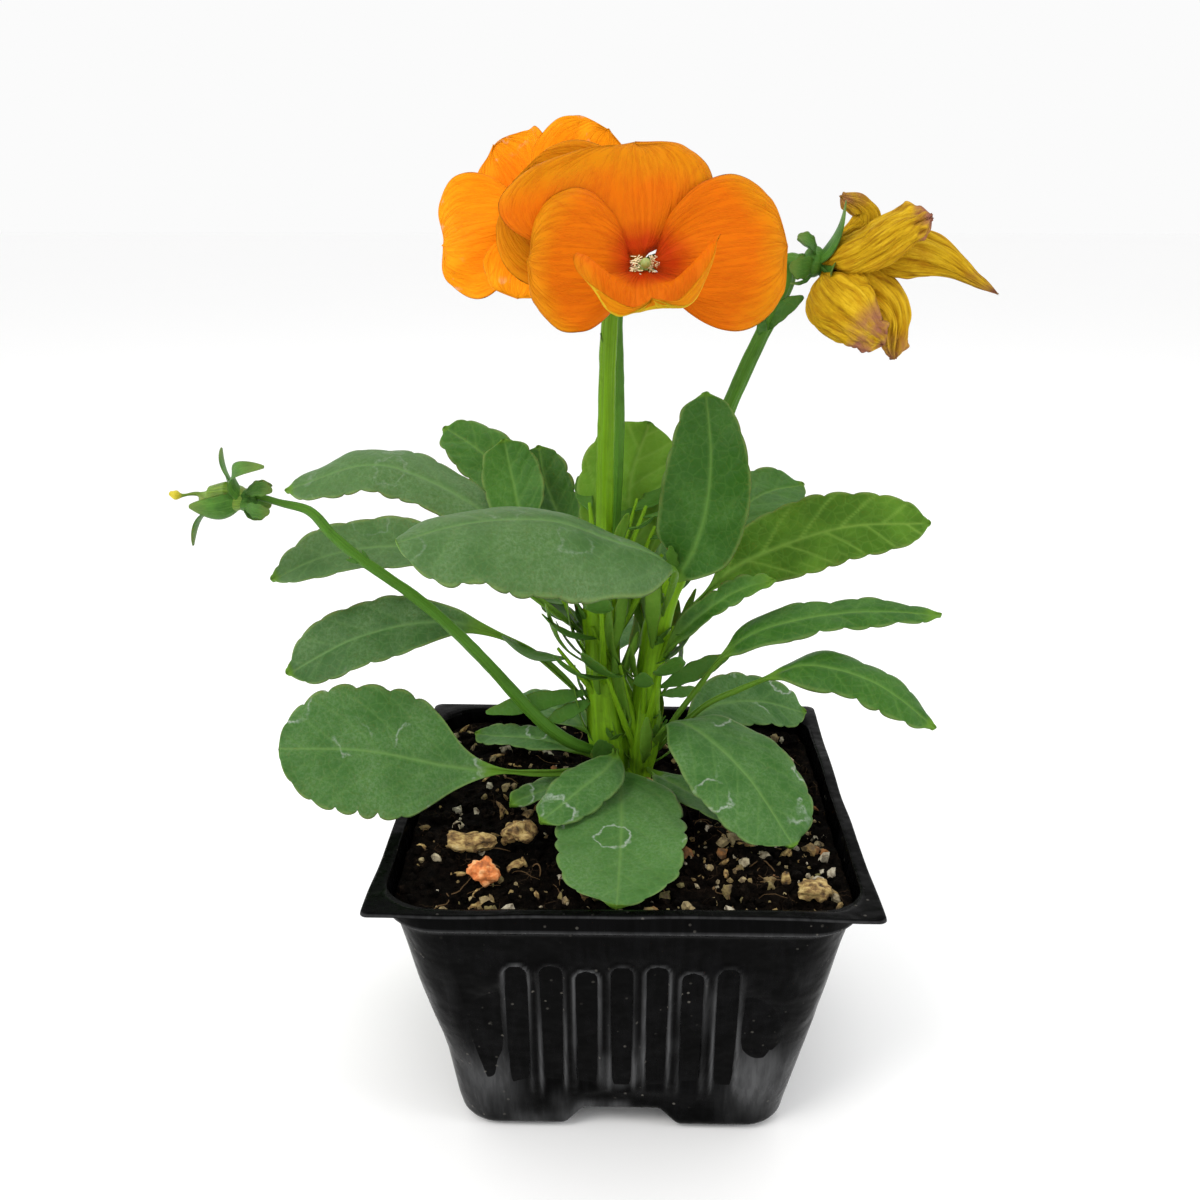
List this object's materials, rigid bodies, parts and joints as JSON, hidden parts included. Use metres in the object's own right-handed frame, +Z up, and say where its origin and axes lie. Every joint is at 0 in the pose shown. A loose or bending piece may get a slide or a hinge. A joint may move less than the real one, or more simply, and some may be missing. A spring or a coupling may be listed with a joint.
{
  "type": "potted pansy planter",
  "caption": "Flowering pansy with lobed green leaves and orange blooms, growing in a square tapered black nursery pot that stands on its flat base.",
  "frame": {"origin": "middle of the pot's flat base, on the surface it stands on", "axes": "+Z up; -Y towards the side that the open flower faces; +X to the right of one who looks at that side"},
  "size_m": [0.1509, 0.0995, 0.1843],
  "materials": {
    "black_plastic": "thin thermoformed plastic, softly glossy and dusty",
    "potting_mix": "damp peat with perlite grains",
    "bark": "rough composted bark",
    "dried_petal": "crumpled dry petal",
    "stem_green": "juicy ribbed stem",
    "leaf_green": "matte leaf with a grey bloom",
    "leaf_pale_green": "matte young leaf",
    "sepal_green": "matte sepal",
    "petal_orange": "velvety orange petal with fine veins",
    "petal_gold": "velvety orange-yellow petal",
    "petal_withered": "dry wrinkled ochre petal",
    "pistil_cream": "cream and green pistil"
  },
  "bodies": {
    "root": {"back_petal_lip": "petal_gold", "back_petal_side_left": "petal_gold", "back_petal_side_right": "petal_gold", "back_petal_upper_left": "petal_gold", "back_petal_upper_right": "petal_gold", "bark_chip_left": "bark", "bark_chip_middle": "bark", "bark_chip_right": "bark", "calyx_back": "sepal_green", "calyx_front": "sepal_green", "calyx_seed": "sepal_green", "calyx_withered": "sepal_green", "crown": "stem_green", "leaf_arch_left": "leaf_green", "leaf_back_right": "leaf_green", "leaf_behind_left": "leaf_green", "leaf_front_low": "leaf_green", "leaf_front_oval": "leaf_green", "leaf_front_right": "leaf_green", "leaf_low_left": "leaf_green", "leaf_mid_left": "leaf_green", "leaf_rear_high": "leaf_green", "leaf_rear_low": "leaf_green", "leaf_right_behind": "leaf_green", "leaf_right_droop": "leaf_green", "leaf_right_long": "leaf_green", "leaf_right_pale": "leaf_pale_green", "leaf_right_small": "leaf_green", "leaf_saddle": "leaf_green", "leaf_soil_back": "leaf_green", "leaf_soil_behind": "leaf_green", "leaf_soil_left": "leaf_green", "leaf_soil_right": "leaf_green", "leaf_tall_dark": "leaf_green", "leaf_tall_pale": "leaf_pale_green", "leaf_top_inner": "leaf_green", "leaf_top_left": "leaf_green", "leaf_top_middle": "leaf_green", "petal_lip": "petal_orange", "petal_scrap": "dried_petal", "petal_side_left": "petal_orange", "petal_side_right": "petal_orange", "petal_upper_left": "petal_orange", "petal_upper_right": "petal_orange", "pistil_back": "pistil_cream", "pistil_front": "pistil_cream", "pot": "black_plastic", "seed_capsule": "sepal_green", "soil": "potting_mix", "stalk_back": "stem_green", "stalk_front": "stem_green", "stalk_seed": "stem_green", "stalk_withered": "stem_green", "stem_main": "stem_green", "stem_side": "stem_green", "withered_petal_far": "petal_withered", "withered_petal_lip": "petal_withered", "withered_petal_main": "petal_withered", "withered_petal_near": "petal_withered", "withered_petal_top": "petal_withered"}
  },
  "joints": []
}
